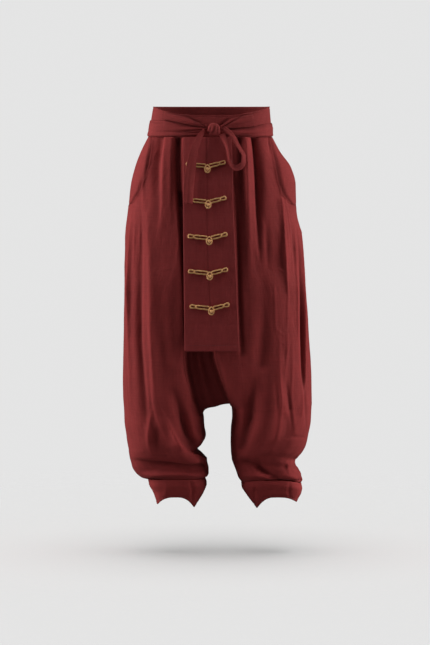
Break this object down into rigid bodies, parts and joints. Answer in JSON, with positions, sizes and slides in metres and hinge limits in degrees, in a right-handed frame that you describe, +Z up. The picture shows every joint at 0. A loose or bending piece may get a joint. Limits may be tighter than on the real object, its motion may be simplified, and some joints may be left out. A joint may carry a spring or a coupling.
{
  "type": "harem trousers",
  "caption": "Loose drop-crotch linen harem trousers, shown filled out, with a tied sash, a front apron panel with cord frog fastenings, slant pockets and tapered cuffs with arched hems.",
  "frame": {"origin": "middle of the waistband ring, where the wearer's waist holds the garment", "axes": "+Z up along the legs towards the waist, -Y the front with the apron panel, +X to the right as seen from the front"},
  "size_m": [0.4462, 0.3269, 0.9495],
  "materials": {
    "linen": "matte plain-weave linen",
    "linen_band": "matte plain-weave linen, interfaced",
    "linen_apron": "matte plain-weave linen, doubled",
    "gold_cord": "twisted metallic cord, satin"
  },
  "bodies": {
    "root": {"apron": "linen_apron", "cuff_back_left": "linen", "cuff_back_right": "linen", "cuff_front_left": "linen", "cuff_front_right": "linen", "frog_1_button": "gold_cord", "frog_1_left": "gold_cord", "frog_1_right": "gold_cord", "frog_2_button": "gold_cord", "frog_2_left": "gold_cord", "frog_2_right": "gold_cord", "frog_3_button": "gold_cord", "frog_3_left": "gold_cord", "frog_3_right": "gold_cord", "frog_4_button": "gold_cord", "frog_4_left": "gold_cord", "frog_4_right": "gold_cord", "frog_5_button": "gold_cord", "frog_5_left": "gold_cord", "frog_5_right": "gold_cord", "gusset": "linen", "leg_back_left": "linen", "leg_back_right": "linen", "leg_front_left": "linen", "leg_front_right": "linen", "pocket_facing_left": "linen", "pocket_facing_right": "linen", "sash_back": "linen_band", "sash_knot": "linen_band", "sash_left": "linen_band", "sash_loop": "linen_band", "sash_right": "linen_band", "sash_tail": "linen_band", "tie_left": "linen_band", "tie_right": "linen_band", "waistband_back": "linen_band", "waistband_front": "linen_band"}
  },
  "joints": []
}
